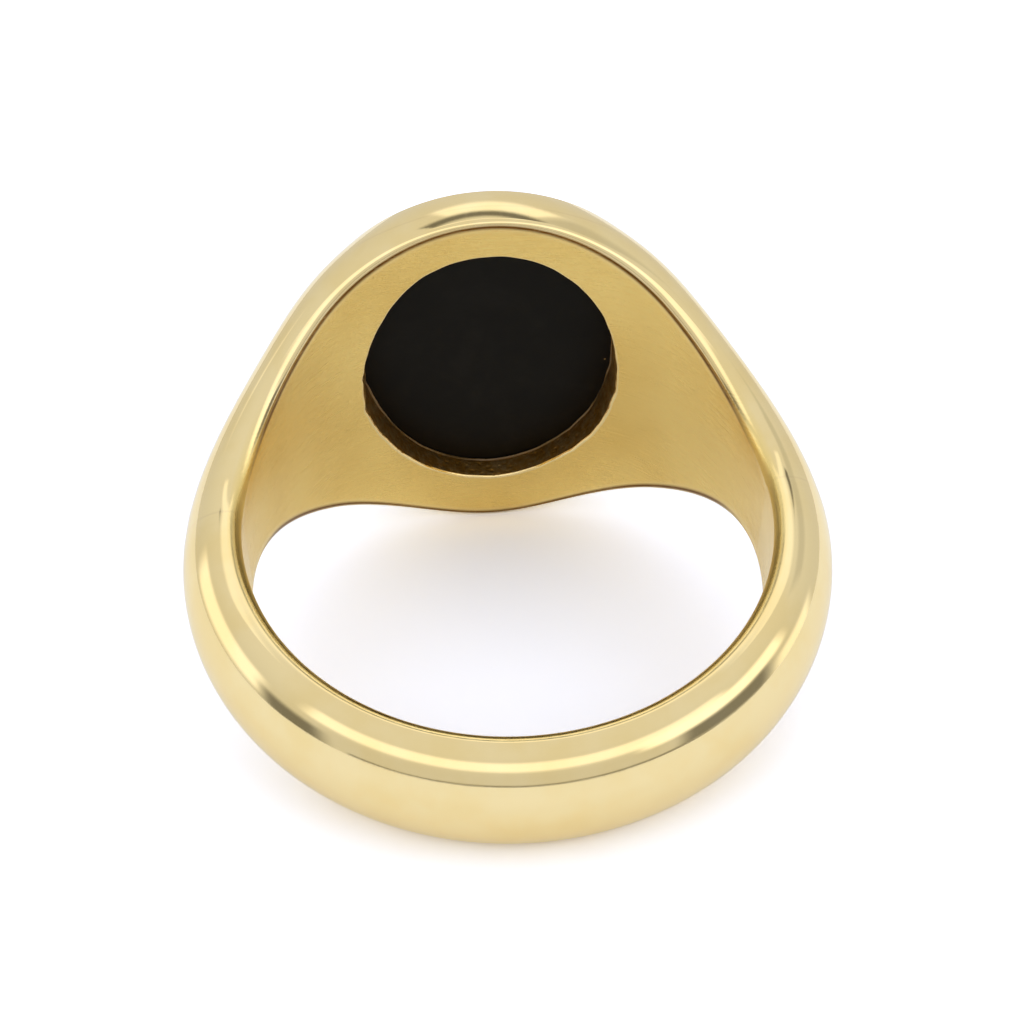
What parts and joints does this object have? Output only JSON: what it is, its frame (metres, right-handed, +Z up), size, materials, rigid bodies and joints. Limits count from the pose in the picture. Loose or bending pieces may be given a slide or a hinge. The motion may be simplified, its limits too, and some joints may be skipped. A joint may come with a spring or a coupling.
{
  "type": "signet ring",
  "caption": "Signet ring with an oval flat black stone in a rim on a broad head, an oval window behind the stone and a plain rounded hoop; worn on a finger.",
  "frame": {"origin": "centre of the footprint's box, on the surface that the ring lies on", "axes": "+Z up from that surface, +Y from the back of the hoop towards the head, X across the finger; the finger's axis leans 16.94 degrees from +Z towards -Y"},
  "size_m": [0.0236, 0.0242, 0.016],
  "materials": {
    "gold": "polished yellow gold, satin inside the head",
    "gold_solder": "polished flush with the gold",
    "onyx": "polished face, fine-ground back",
    "cement": "clear amber setting cement"
  },
  "bodies": {
    "root": {"shank": "gold", "signet_head": "gold", "bezel_collar": "gold", "solder_seam_left": "gold_solder", "solder_seam_right": "gold_solder", "bezel_solder": "gold_solder", "onyx_stone": "onyx", "stone_cement": "cement"}
  },
  "joints": []
}
